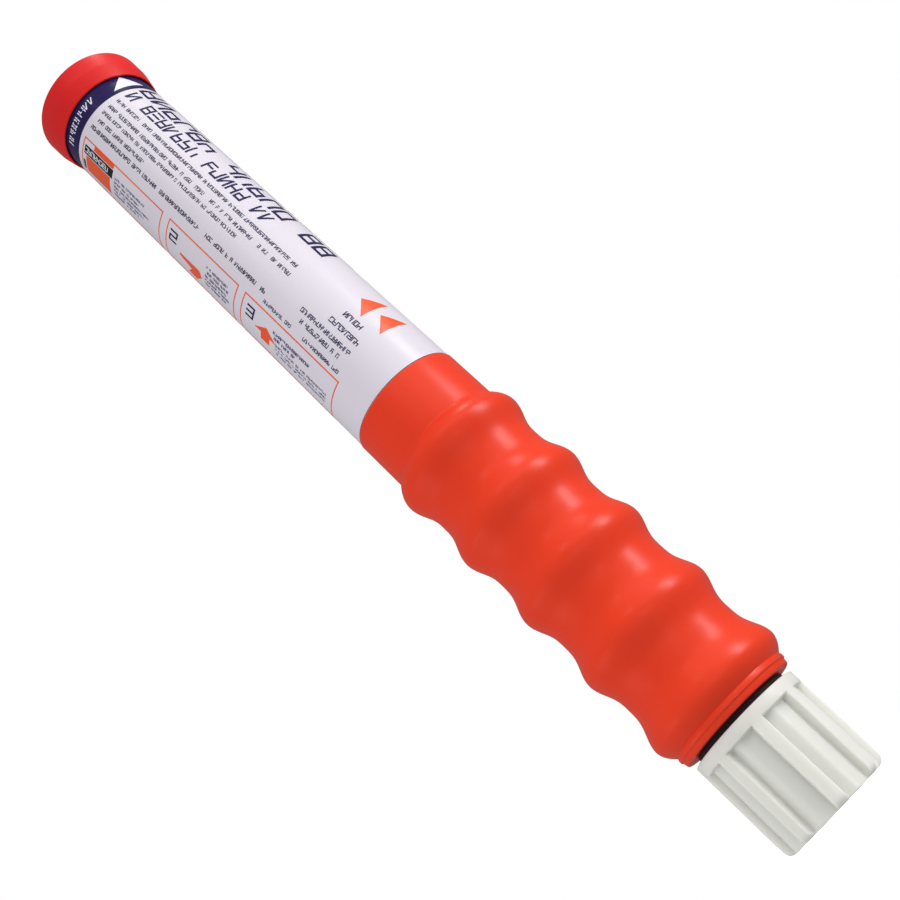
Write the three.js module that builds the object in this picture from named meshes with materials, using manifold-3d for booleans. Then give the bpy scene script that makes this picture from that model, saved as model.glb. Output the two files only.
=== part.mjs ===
// Hand-held parachute rocket flare, standing on its screw-on base cap.
// Millimetres, +Z along the axis towards the rocket end, z = 0 at the foot of the base cap.

import * as THREE from 'three';
import { mergeVertices } from 'three/addons/utils/BufferGeometryUtils.js';
import Module from 'manifold-3d';

const wasm = await Module();
wasm.setup();

// ---- Driving dimensions ----

const GAP = 0.3;                 // clearance between neighbouring pieces
const OVERALL_LENGTH = 314;

// Grip handle
const COLLAR_RADIUS = 18;        // plain collar above the finger grooves
const VALLEY_RADIUS = 18.2;      // bottom of the finger grooves
const CREST_RADIUS = 20.85;      // top of the rings between the fingers
const CREST_PITCH = 23.15;
const CREST_COUNT = 5;
const FIRST_CREST_Z = 39.1;      // lowest crest
const CREST_SHARPNESS = 3.2;     // exponent: narrow crests, wide grooves
const END_FLANK_SHARPNESS = 1.9; // exponent of the steeper flanks at both ends of the grip
const HANDLE_BASE_Z = 31.1;
const LIP_TOP_Z = 34.4;          // where the lowest ring's flank begins
const GRIP_TOP_Z = 137.1;
const COLLAR_TOP_Z = 154.9;
const HANDLE_BORE = 16.7;
const NECK_RADIUS = 11.4;
const NECK_BORE = 9.8;
const NECK_FOOT_Z = 7;

// Launch tube and its printed wrap
const TUBE_BORE = 15.5;
const WRAP_THICKNESS = 0.3;
const WRAP_RADIUS_LOW = 17.8;
const WRAP_RADIUS_HIGH = 17.26;
const WRAP_TOP_Z = 304.6;
const TUBE_TOP_Z = 311;

// Base cap
const CAP_HEIGHT = 29.5;
const CAP_FOOT_RADIUS = 16.4;
const CAP_RIM_RADIUS = 16.7;
const CAP_BAND = 3.6;            // plain band above the pockets
const CAP_FLOOR = 2.2;
const CAP_BORE = 13;
const CAP_CORNER = 2;
const RIB_COUNT = 8;
const RIB_WIDTH = 3.5;
const RIB_TURN = THREE.MathUtils.degToRad(7);        // first rib, from the -Y side towards +X
const CORE_CORNER_RADIUS = 15.5; // eight-sided core between the ribs
const CORE_TURN = THREE.MathUtils.degToRad(-18.6);   // first corner of the core

// Rocket-end cap
const END_CAP_FOOT_Z = 301.9;
const END_CAP_FOOT_RADIUS = 18.1;
const END_CAP_RADIUS = 19;       // above the tapered skirt edge
const END_CAP_TAPER_Z = 305.5;
const END_CAP_TOP_RADIUS = 19.3;
const END_CAP_SKIRT_BORE = 17.6;

// Rocket
const ROCKET_RADIUS = 15;
const ROCKET_BASE_Z = 54;
const MOTOR_TOP_Z = 122;
const PAYLOAD_TOP_Z = 295;
const NOSE_TOP_Z = 300;

// Facets round the circle
const OUTER_SEGMENTS = 32;
const INNER_SEGMENTS = 20;

// ---- Materials ----

const finish = (color, roughness, metalness = 0) =>
  new THREE.MeshStandardMaterial({ color, roughness, metalness });

const orangePlastic = () => finish(0xe8441c, 0.35);
const redPlastic = () => finish(0xd92a2c, 0.35);
const whitePlastic = () => finish(0xd9dcd4, 0.5);
const blackRubber = () => finish(0x15151a, 0.8);
const printedFilm = () => finish(0xd8d9e6, 0.35);
const greyPlastic = () => finish(0x8d9094, 0.5);
const aluminium = () => finish(0xb9bcc0, 0.4, 1);
const steel = () => finish(0x9a9da1, 0.35, 1);
const brass = () => finish(0xb89a55, 0.35, 1);
const paperBoard = () => finish(0xb79c72, 0.85);
const felt = () => finish(0x8c877c, 0.95);
const moulding = () => finish(0x4c4a48, 0.85);
const nylonCloth = () => finish(0xdcdcd6, 0.8);

// ---- Helpers ----

const flare = new THREE.Group();

function add(parent, name, geometry, material) {
  const mesh = new THREE.Mesh(geometry, material);
  mesh.name = name;
  parent.add(mesh);
  return mesh;
}

// Turns a list of [radius, z] corners about the Z axis. A profile that doesn't start on the
// axis is closed on itself.
function turned(corners, segments = OUTER_SEGMENTS) {
  const points = corners.map(([radius, z]) => new THREE.Vector2(radius, z));
  if (corners[0][0] > 0) {
    points.push(points[0].clone());
  }
  const geometry = new THREE.LatheGeometry(points, segments);
  geometry.rotateX(Math.PI / 2);
  return geometry;
}

// A plain ring or sleeve.
function sleeve(inner, outer, low, high, segments = INNER_SEGMENTS) {
  return turned([[inner, low], [outer, low], [outer, high], [inner, high]], segments);
}

// A plain round block.
function disc(radius, low, high, segments = INNER_SEGMENTS) {
  return turned([[0, low], [radius, low], [radius, high], [0, high]], segments);
}

// Corners along an arc in the radius-z plane.
function arc(centreRadius, centreZ, radius, from, to, steps) {
  const corners = [];
  for (let i = 0; i <= steps; i += 1) {
    const angle = from + ((to - from) * i) / steps;
    corners.push([centreRadius + radius * Math.cos(angle), centreZ + radius * Math.sin(angle)]);
  }
  return corners;
}

function toSolid(geometry) {
  const bare = geometry.index ? geometry.clone() : geometry;
  bare.deleteAttribute('normal');
  bare.deleteAttribute('uv');
  const merged = mergeVertices(bare, 1e-4);
  return new wasm.Manifold(new wasm.Mesh({
    numProp: 3,
    vertProperties: new Float32Array(merged.attributes.position.array),
    triVerts: new Uint32Array(merged.index.array),
  }));
}

function toGeometry(solid) {
  const mesh = solid.getMesh();
  const geometry = new THREE.BufferGeometry();
  geometry.setAttribute('position', new THREE.BufferAttribute(mesh.vertProperties, 3));
  geometry.setIndex(new THREE.BufferAttribute(mesh.triVerts, 1));
  return geometry;
}

// ---- Handle, tube and wrap ----

const LAST_CREST_Z = FIRST_CREST_Z + (CREST_COUNT - 1) * CREST_PITCH;

// Outer radius of the grip at a height: rings at one pitch with wide finger grooves between,
// and a steeper flank outside the first and the last ring.
function gripRadius(z) {
  const lift = CREST_RADIUS - VALLEY_RADIUS;
  if (z < FIRST_CREST_Z || z > LAST_CREST_Z) {
    const past = z < FIRST_CREST_Z
      ? (FIRST_CREST_Z - z) / (FIRST_CREST_Z - LIP_TOP_Z)
      : (z - LAST_CREST_Z) / (GRIP_TOP_Z - LAST_CREST_Z);
    return CREST_RADIUS - lift * past ** END_FLANK_SHARPNESS;
  }
  const phase = (Math.PI * (z - FIRST_CREST_Z)) / CREST_PITCH;
  return VALLEY_RADIUS + lift * Math.abs(Math.cos(phase)) ** CREST_SHARPNESS;
}

function gripHandle() {
  const heights = [];
  for (let i = 0; i < 3; i += 1) {
    heights.push(THREE.MathUtils.lerp(LIP_TOP_Z, FIRST_CREST_Z, i / 3));
  }
  for (let i = 0; i <= (CREST_COUNT - 1) * 8; i += 1) {
    heights.push(FIRST_CREST_Z + (i * CREST_PITCH) / 8);
  }
  for (let i = 1; i <= 3; i += 1) {
    heights.push(THREE.MathUtils.lerp(LAST_CREST_Z, GRIP_TOP_Z, i / 3));
  }
  return turned([
    [NECK_BORE, NECK_FOOT_Z],
    [NECK_RADIUS, NECK_FOOT_Z],
    [NECK_RADIUS, HANDLE_BASE_Z],
    [17.4, HANDLE_BASE_Z],
    [17.95, HANDLE_BASE_Z + 0.6],
    [18.1, HANDLE_BASE_Z + 1.7],
    [18.35, HANDLE_BASE_Z + 1.9],
    [18.35, HANDLE_BASE_Z + 2.6],
    ...heights.map((z) => [gripRadius(z), z]),
    [COLLAR_RADIUS, GRIP_TOP_Z + 0.2],
    [COLLAR_RADIUS, COLLAR_TOP_Z - 0.4],
    [COLLAR_RADIUS - 0.4, COLLAR_TOP_Z],
    [HANDLE_BORE, COLLAR_TOP_Z],
    [HANDLE_BORE, 36],
    [NECK_BORE, 36],
  ]);
}

function launchTube() {
  const skin = WRAP_THICKNESS + GAP;
  return turned([
    [TUBE_BORE, 39.8],
    [HANDLE_BORE - GAP, 39.8],
    [HANDLE_BORE - GAP, COLLAR_TOP_Z + GAP],
    [WRAP_RADIUS_LOW - skin, COLLAR_TOP_Z + GAP],
    [WRAP_RADIUS_HIGH - skin, WRAP_TOP_Z],
    [WRAP_RADIUS_HIGH - skin, TUBE_TOP_Z - 0.5],
    [WRAP_RADIUS_HIGH - skin - 0.4, TUBE_TOP_Z],
    [TUBE_BORE, TUBE_TOP_Z],
  ]);
}

function labelWrap() {
  return turned([
    [WRAP_RADIUS_LOW - WRAP_THICKNESS, COLLAR_TOP_Z + GAP],
    [WRAP_RADIUS_LOW, COLLAR_TOP_Z + GAP],
    [WRAP_RADIUS_HIGH, WRAP_TOP_Z],
    [WRAP_RADIUS_HIGH - WRAP_THICKNESS, WRAP_TOP_Z],
  ]);
}

// ---- Firing end: plug, igniter and wad ----

function basePlug() {
  const spigot = NECK_BORE - GAP;
  return turned([
    [4.8, 29],
    [spigot, 29],
    [spigot, 31.5],
    [8.3, 31.5],
    [8.3, 33.3],
    [spigot, 33.3],
    [spigot, 36.3],
    [HANDLE_BORE - GAP, 36.3],
    [HANDLE_BORE - GAP, 39.5],
    [9, 39.5],
    [9, 45.7],
    [4.8, 45.7],
  ], INNER_SEGMENTS);
}

// An O-ring with its centre circle at the given radius and height.
function oRing(radius, z, thickness) {
  const geometry = new THREE.TorusGeometry(radius, thickness, 6, INNER_SEGMENTS);
  geometry.translate(0, 0, z);
  return geometry;
}

function igniterHousing() {
  return turned([
    [0.9, 27.2],
    [3.2, 27.2],
    [4.5, 28.5],
    [4.5, 44],
    [2.6, 44],
    [2.6, 36],
    [0.9, 36],
  ], INNER_SEGMENTS);
}

// ---- Pull ring and its wire ----

function pullRing() {
  const ring = new THREE.TorusGeometry(6.6, 1.5, 8, 24);
  ring.rotateX(Math.PI / 2);
  ring.translate(0, 0, 16.3);
  const boss = disc(2, 23.2, 25.2, 12);
  return toGeometry(toSolid(ring).add(toSolid(boss)));
}

// ---- Base cap ----

// A radial slab through the axis makes two opposite ribs.
function ribPair(turn) {
  const slab = new THREE.BoxGeometry(RIB_WIDTH, 2 * CAP_RIM_RADIUS + 4, CAP_HEIGHT);
  slab.translate(0, 0, CAP_HEIGHT / 2);
  slab.rotateZ(turn);
  return toSolid(slab);
}

function capCore() {
  const outline = new THREE.Shape();
  for (let i = 0; i < RIB_COUNT; i += 1) {
    const angle = CORE_TURN - Math.PI / 2 + (2 * Math.PI * i) / RIB_COUNT;
    outline[i ? 'lineTo' : 'moveTo'](
      CORE_CORNER_RADIUS * Math.cos(angle),
      CORE_CORNER_RADIUS * Math.sin(angle),
    );
  }
  outline.closePath();
  return toSolid(new THREE.ExtrudeGeometry(outline, { depth: CAP_HEIGHT, bevelEnabled: false }));
}

function baseCap() {
  const envelope = toSolid(turned([
    [0, 0],
    ...arc(CAP_FOOT_RADIUS - CAP_CORNER, CAP_CORNER, CAP_CORNER, -Math.PI / 2, 0, 4),
    [CAP_RIM_RADIUS, CAP_HEIGHT - 0.4],
    [CAP_RIM_RADIUS - 0.4, CAP_HEIGHT],
    [0, CAP_HEIGHT],
  ]));
  const cavity = toSolid(disc(CAP_BORE, CAP_FLOOR, CAP_HEIGHT + 1, OUTER_SEGMENTS));
  let body = capCore();
  body = body.add(toSolid(disc(CAP_RIM_RADIUS + 2, CAP_HEIGHT - CAP_BAND, CAP_HEIGHT)));
  for (let i = 0; i < RIB_COUNT / 2; i += 1) {
    body = body.add(ribPair(RIB_TURN + (2 * Math.PI * i) / RIB_COUNT));
  }
  return toGeometry(body.intersect(envelope).subtract(cavity));
}

function capGasket() {
  return sleeve(NECK_RADIUS + 1, 14.6, CAP_HEIGHT + 0.25, HANDLE_BASE_Z - 0.25, OUTER_SEGMENTS);
}

// ---- Rocket-end cap ----

function rocketEndCap() {
  const roofZ = TUBE_TOP_Z + GAP;
  const edge = 1;
  return turned([
    [END_CAP_SKIRT_BORE, END_CAP_FOOT_Z],
    [END_CAP_FOOT_RADIUS, END_CAP_FOOT_Z],
    [END_CAP_RADIUS, END_CAP_TAPER_Z],
    ...arc(END_CAP_TOP_RADIUS - edge, OVERALL_LENGTH - edge, edge, 0, Math.PI / 2, 3),
    [0, OVERALL_LENGTH],
    [0, roofZ],
    [13.4, roofZ],
    [13.4, 305],
    [15.1, 305],
    [15.1, 307],
    [14, 307],
    [14, 308.8],
    [15.1, 308.8],
    [15.1, roofZ],
    [END_CAP_SKIRT_BORE, roofZ],
  ]);
}

// ---- Rocket ----

function nozzle() {
  return turned([
    [7, 55],
    [13.5, 55],
    [13.5, 65],
    [6, 65],
    [2.6, 61.5],
    [2.6, 59.5],
  ], INNER_SEGMENTS);
}

function delayTube() {
  return turned([
    [0, 112],
    [2.1, 112],
    [2.1, 117.3],
    [3.8, 117.3],
    [3.8, 118.6],
    [2.1, 118.6],
    [2.1, 121],
    [0, 121],
  ], INNER_SEGMENTS);
}

function candleCase() {
  const outer = ROCKET_RADIUS - 1.2;
  return turned([
    [outer - 1, 126.3],
    [outer, 126.3],
    [outer, 190],
    [0, 190],
    [0, 188],
    [outer - 1, 188],
  ], INNER_SEGMENTS);
}

function swivelEye() {
  const eye = new THREE.TorusGeometry(3, 0.9, 8, 16);
  eye.rotateX(Math.PI / 2);
  eye.translate(0, 0, 198.5);
  const post = turned([
    [0, 190.3],
    [5, 190.3],
    [5, 191.8],
    [1.5, 191.8],
    [1.5, 195.4],
    [0, 195.4],
  ], 12);
  return toGeometry(toSolid(eye).add(toSolid(post)));
}

// The line is stowed as a flat coil round the swivel.
function suspensionLine() {
  return turned(arc(9, 194.5, 2.6, -Math.PI, Math.PI * 0.75, 7), INNER_SEGMENTS);
}

function nosePlug() {
  const spigot = ROCKET_RADIUS - 1.2;
  return turned([
    [0, 284.3],
    [spigot, 284.3],
    [spigot, PAYLOAD_TOP_Z + GAP],
    [ROCKET_RADIUS, PAYLOAD_TOP_Z + GAP],
    [ROCKET_RADIUS, NOSE_TOP_Z - 2],
    [ROCKET_RADIUS - 2, NOSE_TOP_Z],
    [0, NOSE_TOP_Z],
  ], INNER_SEGMENTS);
}

function buildRocket() {
  const rocket = new THREE.Group();
  const lining = ROCKET_RADIUS - 1.2;
  add(rocket, 'motor_case', sleeve(lining, ROCKET_RADIUS, ROCKET_BASE_Z, MOTOR_TOP_Z), aluminium());
  add(rocket, 'nozzle', nozzle(), greyPlastic());
  add(rocket, 'motor_charge', sleeve(3.5, 13.4, 65.3, 111), moulding());
  add(rocket, 'motor_bulkhead', sleeve(2.4, 13.5, 111.3, 117), aluminium());
  add(rocket, 'delay_tube', delayTube(), brass());
  add(rocket, 'payload_tube', sleeve(14.1, ROCKET_RADIUS, MOTOR_TOP_Z + GAP, PAYLOAD_TOP_Z), paperBoard());
  add(rocket, 'pusher_disc', disc(lining, 123, 126), paperBoard());
  add(rocket, 'candle_case', candleCase(), aluminium());
  add(rocket, 'candle', disc(12.5, 127, 187.7), moulding());
  add(rocket, 'swivel_eye', swivelEye(), steel());
  add(rocket, 'suspension_line', suspensionLine(), nylonCloth());
  add(rocket, 'felt_disc', disc(lining, 203.5, 206.5), felt());
  add(rocket, 'parachute_sleeve', sleeve(13.2, lining, 206.8, 284), paperBoard());
  add(rocket, 'parachute_pack', disc(12.9, 207, 283.7), nylonCloth());
  add(rocket, 'nose_plug', nosePlug(), greyPlastic());
  return rocket;
}

// ---- Assembly ----

add(flare, 'grip_handle', gripHandle(), orangePlastic());
add(flare, 'launch_tube', launchTube(), whitePlastic());
add(flare, 'label_wrap', labelWrap(), printedFilm());
add(flare, 'base_plug', basePlug(), greyPlastic());
add(flare, 'plug_oring', oRing(9.1, 32.4, 0.6), blackRubber());
add(flare, 'igniter_housing', igniterHousing(), brass());
add(flare, 'igniter_cup', disc(2.3, 36.3, 43.7, 12), aluminium());
add(flare, 'spacer_wad', sleeve(3, 15.1, 46, 53.7), felt());
add(flare, 'cap_gasket', capGasket(), blackRubber());
add(flare, 'base_cap', baseCap(), whitePlastic());
add(flare, 'pull_ring', pullRing(), redPlastic());
add(flare, 'pull_wire', disc(0.6, 25.5, 35.7, 8), steel());
add(flare, 'wire_ferrule', sleeve(0.9, 1.6, 25.5, 26.8, 12), brass());
add(flare, 'rocket_end_cap', rocketEndCap(), redPlastic());
add(flare, 'end_cap_seal', oRing(14.75, 307.9, 0.6), blackRubber());
flare.add(buildRocket());

export default flare;
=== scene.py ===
"""A hand-held parachute rocket flare standing on its screw cap: looks, camera and light.

Outlines are in millimetres as (radius, height) pairs; meshes are made in metres.
"""

import functools
import math
import random

import bmesh
import bpy
from mathutils import Matrix, Vector


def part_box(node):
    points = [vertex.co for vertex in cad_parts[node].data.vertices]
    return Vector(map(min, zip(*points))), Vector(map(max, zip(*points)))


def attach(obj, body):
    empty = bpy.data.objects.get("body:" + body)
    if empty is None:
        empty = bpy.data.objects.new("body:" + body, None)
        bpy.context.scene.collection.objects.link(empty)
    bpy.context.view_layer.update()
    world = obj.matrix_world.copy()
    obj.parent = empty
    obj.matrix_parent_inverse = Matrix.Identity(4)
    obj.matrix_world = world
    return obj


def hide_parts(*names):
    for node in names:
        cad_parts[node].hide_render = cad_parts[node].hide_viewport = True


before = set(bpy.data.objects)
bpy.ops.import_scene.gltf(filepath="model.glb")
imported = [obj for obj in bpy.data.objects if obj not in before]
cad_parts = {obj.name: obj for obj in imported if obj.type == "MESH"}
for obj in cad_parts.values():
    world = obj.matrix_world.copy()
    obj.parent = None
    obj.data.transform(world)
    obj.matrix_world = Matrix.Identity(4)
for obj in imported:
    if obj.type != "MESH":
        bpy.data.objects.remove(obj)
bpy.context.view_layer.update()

# ---------------------------------------------------------------- sizes

MM = 0.001
TURN = 2 * math.pi


def low_high(node):
    """The lowest and highest point of a CAD node, in millimetres."""
    low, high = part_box(node)
    return low.z / MM, high.z / MM


def outer_radius(node):
    """Half the width of a round CAD node, in millimetres."""
    low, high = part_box(node)
    return (high.x - low.x) / 2 / MM


NECK_FOOT, COLLAR_TOP = low_high("grip_handle")
CREST = outer_radius("grip_handle")
CAP_TOP = low_high("base_cap")[1]
CAP_RIM = outer_radius("base_cap")
WRAP_LOW, WRAP_HIGH = low_high("label_wrap")
WRAP_RADIUS = outer_radius("label_wrap")
TUBE_LOW, TUBE_HIGH = low_high("launch_tube")
END_CAP_LOW, END_CAP_HIGH = low_high("rocket_end_cap")
END_CAP_RADIUS = outer_radius("rocket_end_cap")
MOTOR_LOW, MOTOR_HIGH = low_high("motor_case")

COLLAR = 18.0             # collar above the grip
VALLEY = 18.2             # bottom of a finger groove
CREST_PITCH = 23.15
CREST_COUNT = 5
FIRST_CREST = 39.1
LAST_CREST = FIRST_CREST + (CREST_COUNT - 1) * CREST_PITCH
CREST_SHARPNESS = 3.2
END_FLANK_SHARPNESS = 1.9
HANDLE_SHOULDER = 31.1    # the face that the gasket closes on
LIP_TOP = 34.4
GRIP_TOP = 137.1
HANDLE_BORE = 16.7
NECK = 11.4
NECK_BORE = 9.8
WRAP_THICKNESS = 0.3
WRAP_RADIUS_HIGH = 17.26  # the tube narrows towards the rocket end
TUBE_BORE = 15.5
ROCKET = 15.0
ROCKET_SLIDE = 13.8       # pieces that fit inside the payload tube
PLUG_HEAD = 16.4
PLUG_BORE = 4.8

RIB_COUNT = 8
RIB_WIDTH = 3.5
FIRST_RIB = math.radians(7)        # from the camera's side, positive to its right
CORE_CORNER = 15.5
FIRST_CORE_CORNER = math.radians(-18.6)
CAP_FOOT_RADIUS = 16.4
CAP_FOOT_CORNER = 2.0
CAP_BORE = 13.0
CAP_RIM_CORNER = 0.45
CAP_FLOOR = 2.2
POCKET_ROOF = 25.9

END_CAP_BORE = 17.6
SPIGOT = 15.1             # the part of the end cap that plugs the tube
SEAL_GROOVE = 14.0

THREAD_LEAD = 12.0
THREAD_STARTS = 3

SMOOTH_TURN = 128         # facets round a visible turned piece
HIDDEN_TURN = 64          # facets round an inner piece
ROUND_STEPS = 144         # facets round the film and the dark band

INK_LOW = -0.055          # from the film's nominal surface
INK_HIGH = -0.02
ON_BAND = 0.02            # more, where print lies on the dark band
PANEL_TURNS = (0, -52)    # degrees between the two sets of instruction panels

FILL_STRENGTH = 0.54      # of the white surroundings, in plain light
MIRRORED_STRENGTH = 0.20  # and as mirrored in the pieces

# ---------------------------------------------------------------- node trees


class Wiring:
    """Short calls for building one node tree, shader or geometry."""

    def __init__(self, tree):
        self.tree = tree

    def add(self, kind, values=None, **settings):
        """A new node with its settings, then its inputs."""
        node = self.tree.nodes.new(kind)
        for name, value in settings.items():
            setattr(node, name, value)
        return self.feed(node, values or {})

    def feed(self, node, values):
        """Sets or links inputs, named or numbered."""
        for key, value in values.items():
            if isinstance(value, bpy.types.NodeSocket):
                self.tree.links.new(value, node.inputs[key])
            else:
                node.inputs[key].default_value = value
        return node

    def socket(self, name, kind, way="INPUT", value=None):
        made = self.tree.interface.new_socket(name, in_out=way, socket_type="NodeSocket" + kind)
        if value is not None:
            made.default_value = value

    def math(self, operation, *values):
        return self.add("ShaderNodeMath", dict(enumerate(values)), operation=operation).outputs[0]

    def sums(self):
        """Functions that add, subtract, multiply and divide."""
        return [functools.partial(self.math, operation)
                for operation in ("ADD", "SUBTRACT", "MULTIPLY", "DIVIDE")]

    def xyz(self, **parts):
        """A vector from its X, Y and Z."""
        return self.add("ShaderNodeCombineXYZ", parts).outputs[0]

    def parts(self, vector):
        """The X, Y and Z of a vector."""
        return self.add("ShaderNodeSeparateXYZ", {0: vector}).outputs

    def placed(self, geometry, position):
        return self.add("GeometryNodeSetPosition", {"Geometry": geometry, "Position": position}).outputs[0]

    def coated(self, geometry, taken, given):
        """Ends a geometry tree: coats the geometry with its Material input and sends it out."""
        coat = self.add("GeometryNodeSetMaterial", {"Geometry": geometry, "Material": taken["Material"]})
        self.feed(given, {"Geometry": coat.outputs[0]})
        return self.tree


# ---------------------------------------------------------------- camera, light and floor


def aim_camera():
    """Low and close, looking up along the flare, which lies across the frame."""
    distance = 0.3222
    side_step = -0.00148
    height = 0.00426
    look_up = math.radians(22.18)
    roll = math.radians(46.50)
    forward = Vector((0, math.cos(look_up), math.sin(look_up)))
    level = Vector((1, 0, 0))
    raised = Vector((0, -math.sin(look_up), math.cos(look_up)))
    up = raised * math.cos(roll) + level * math.sin(roll)
    right = level * math.cos(roll) - raised * math.sin(roll)
    camera = bpy.data.objects.new("camera", bpy.data.cameras.new("camera"))
    camera.data.sensor_width = 36
    camera.data.lens = 50
    camera.data.clip_start = 0.001
    placed = Matrix((right, up, -forward)).transposed().to_4x4()
    placed.translation = (side_step, -distance, height)
    camera.matrix_world = placed
    bpy.context.scene.collection.objects.link(camera)
    bpy.context.scene.camera = camera


def softbox(name, azimuth, elevation, distance, width, height, power, centre=0.12, mirrored=True):
    """An area light facing the flare. Azimuth 0 is the camera's side, positive to its right.
    A light that isn't mirrored only fills: it leaves no highlight."""
    turn = math.radians(azimuth)
    rise = math.radians(elevation)
    away = Vector((math.sin(turn) * math.cos(rise), -math.cos(turn) * math.cos(rise), math.sin(rise)))
    lamp = bpy.data.objects.new(name, bpy.data.lights.new(name, "AREA"))
    lamp.data.shape = "RECTANGLE"
    lamp.data.size = width
    lamp.data.size_y = height
    lamp.data.energy = power
    lamp.location = away * distance + Vector((0, 0, centre))
    lamp.rotation_euler = away.to_track_quat("Z", "Y").to_euler()
    lamp.visible_glossy = mirrored
    bpy.context.scene.collection.objects.link(lamp)


def light_studio():
    """One mirrored key, plain fills, and two small lights for sparkle."""
    softbox("key", 72, 15, 0.9, 0.22, 0.50, 3.4)
    softbox("right_fill", 42, 40, 1.3, 0.9, 0.9, 6.7, mirrored=False)
    softbox("left_low", -75, 0, 0.40, 0.25, 0.2, 0.80, centre=0.05, mirrored=False)
    softbox("front_low", 8, -4, 0.45, 0.30, 0.10, 0.20, centre=0.06, mirrored=False)
    softbox("front_spark", 2, 42, 1.2, 0.04, 0.04, 0.35)
    softbox("side_spark", 84, 58, 1.2, 0.10, 0.06, 1.2)


def white_surroundings():
    """A white backdrop for the camera, a softer white for lighting and a dim one for reflections."""
    world = bpy.data.worlds.new("studio")
    world.use_nodes = True
    world.node_tree.nodes.clear()
    wiring = Wiring(world.node_tree)
    ray = wiring.add("ShaderNodeLightPath").outputs
    dimmed = wiring.add("ShaderNodeMapRange", {
        "Value": ray["Is Glossy Ray"], "To Min": FILL_STRENGTH, "To Max": MIRRORED_STRENGTH})
    fill = wiring.add("ShaderNodeBackground", {
        "Color": (0.96, 0.98, 1, 1), "Strength": dimmed.outputs["Result"]})
    seen = wiring.add("ShaderNodeBackground", {"Color": (1, 1, 1, 1), "Strength": 1.0})
    mix = wiring.add("ShaderNodeMixShader", {
        "Fac": ray["Is Camera Ray"], 1: fill.outputs["Background"], 2: seen.outputs["Background"]})
    wiring.add("ShaderNodeOutputWorld", {"Surface": mix.outputs["Shader"]})
    bpy.context.scene.world = world


def lay_floor():
    """A pale floor that glows almost white, a painted light that is a little weaker close to the flare, so
    the floor is slightly darker round its foot. It neither lights the flare nor is mirrored in it.
    """
    reach = 6.0
    mesh = bpy.data.meshes.new("floor")
    mesh.from_pydata([(-reach, -reach, 0), (reach, -reach, 0), (reach, reach, 0), (-reach, reach, 0)],
                     [], [(0, 1, 2, 3)])
    floor = bpy.data.objects.new("floor", mesh)
    bpy.context.scene.collection.objects.link(floor)
    material = bpy.data.materials.new("pale_floor")
    material.use_nodes = True
    wiring = Wiring(material.node_tree)
    place = wiring.add("ShaderNodeTexCoord").outputs["Object"]
    away = wiring.add("ShaderNodeVectorMath", {0: place}, operation="LENGTH").outputs["Value"]
    # Painted light: the floor's glow is 0.9 at the flare's foot and rises to full 0.3 m away, so the floor is
    # a shade darker round the foot.
    painted_floor_glow = wiring.add("ShaderNodeMapRange", {
        "Value": away, "From Min": 0.02, "From Max": 0.3, "To Min": 0.9, "To Max": 1.0})
    wiring.feed(material.node_tree.nodes["Principled BSDF"], {
        "Base Color": (0.6, 0.6, 0.59, 1), "Roughness": 1.0, "Specular IOR Level": 0.0,
        "Emission Color": painted_floor_glow.outputs["Result"], "Emission Strength": 1.0})
    mesh.materials.append(material)
    floor.visible_glossy = False
    floor.visible_diffuse = False


# ---------------------------------------------------------------- mesh helpers


def keep(name, mesh, material, body, slot, *nodes):
    """Makes the finished piece: its material, the body it rides on and the CAD nodes it stands for."""
    mesh.materials.clear()
    mesh.materials.append(material)
    piece = bpy.data.objects.new(name, mesh)
    bpy.context.scene.collection.objects.link(piece)
    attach(piece, body)
    if nodes:
        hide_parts(*nodes)


def soften(mesh, sharp=32):
    """Smooth shading with crisp corners."""
    mesh.shade_smooth()
    mesh.set_sharp_from_angle(angle=math.radians(sharp))
    return mesh


def to_mesh(name, bm, sharp=32):
    bmesh.ops.remove_doubles(bm, verts=bm.verts, dist=1e-7)
    bmesh.ops.recalc_face_normals(bm, faces=bm.faces)
    mesh = bpy.data.meshes.new(name)
    bm.to_mesh(mesh)
    bm.free()
    return soften(mesh, sharp)


def rounded(corners, steps=4):
    """An outline from (radius, height, fillet) corners, each fillet drawn as an arc. An outline
    that starts on the axis stays open there."""
    closed = corners[0][0] > 0
    count = len(corners)
    outline = []
    for i, (r, z, fillet) in enumerate(corners):
        here = Vector((r, z))
        if not fillet or (not closed and i in (0, count - 1)):
            outline.append((r, z))
            continue
        back = Vector(corners[i - 1][:2]) - here
        on = Vector(corners[(i + 1) % count][:2]) - here
        half = back.angle(on) / 2
        reach = min(fillet / math.tan(half), back.length * 0.49, on.length * 0.49)
        radius = reach * math.tan(half)
        middle = here + (back.normalized() + on.normalized()).normalized() * (radius / math.sin(half))
        start = here + back.normalized() * reach - middle
        end = here + on.normalized() * reach - middle
        sweep = start.angle_signed(end)
        for k in range(steps + 1):
            turned_by = start.copy()
            turned_by.rotate(Matrix.Rotation(-sweep * k / steps, 2))
            outline.append(tuple(middle + turned_by))
    return outline


def polar(radius, angle, z):
    """A point at an angle from the camera's side, positive to its right."""
    return (radius * math.sin(angle), -radius * math.cos(angle), z)


def lofted(name, rings, sharp=32):
    """A closed mesh through rings of (x, y, z) millimetre points; a ring may be a single point.
    When the first isn't a point, the last ring is joined to it."""
    bm = bmesh.new()
    made = [[bm.verts.new([c * MM for c in point]) for point in ring] for ring in rings]
    pairs = list(zip(made, made[1:]))
    if len(rings[0]) > 1:
        pairs.append((made[-1], made[0]))
    for lower, upper in pairs:
        for k in range(max(len(lower), len(upper))):
            corners = [lower[k % len(lower)], lower[(k + 1) % len(lower)],
                       upper[(k + 1) % len(upper)], upper[k % len(upper)]]
            face = list(dict.fromkeys(corners))
            if len(face) > 2:
                bm.faces.new(face)
    return to_mesh(name, bm, sharp)


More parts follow.
